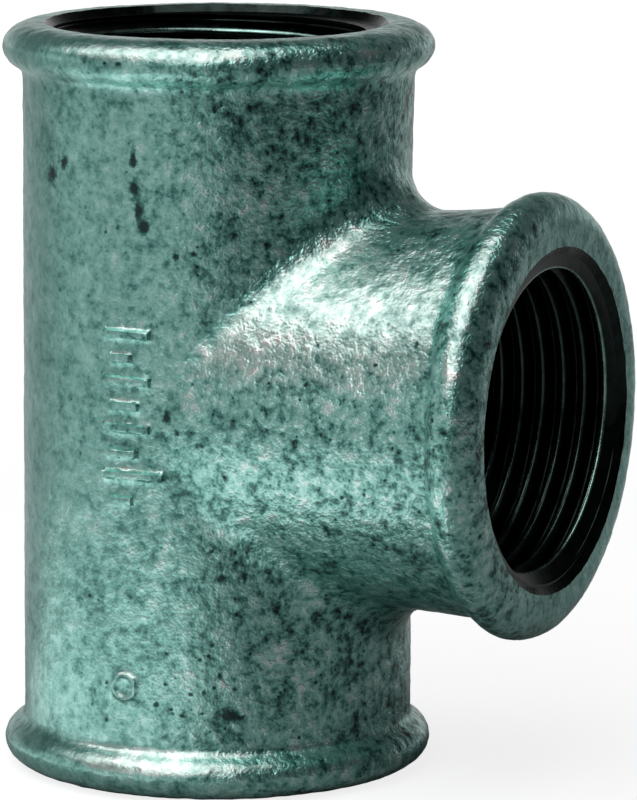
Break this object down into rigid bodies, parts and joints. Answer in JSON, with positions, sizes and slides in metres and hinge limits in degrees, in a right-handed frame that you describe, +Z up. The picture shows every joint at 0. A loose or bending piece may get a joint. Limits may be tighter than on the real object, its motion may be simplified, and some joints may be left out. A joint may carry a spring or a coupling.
{
  "type": "threaded pipe tee",
  "caption": "Cast equal pipe tee with beaded, internally threaded ends, which joins a branch pipe square to a straight run.",
  "frame": {"origin": "centre of the run's lower end face, on the run's axis", "axes": "+Z up the run's axis towards its upper mouth, +X out along the branch, +Y across the tee"},
  "size_m": [0.0599, 0.0438, 0.076],
  "materials": {
    "casting": "galvanised casting with a fine grainy skin, dull sheen",
    "cut_thread": "threads cut after galvanising, dark and lightly oiled"
  },
  "bodies": {
    "root": {"tee_body": "casting"}
  },
  "joints": []
}
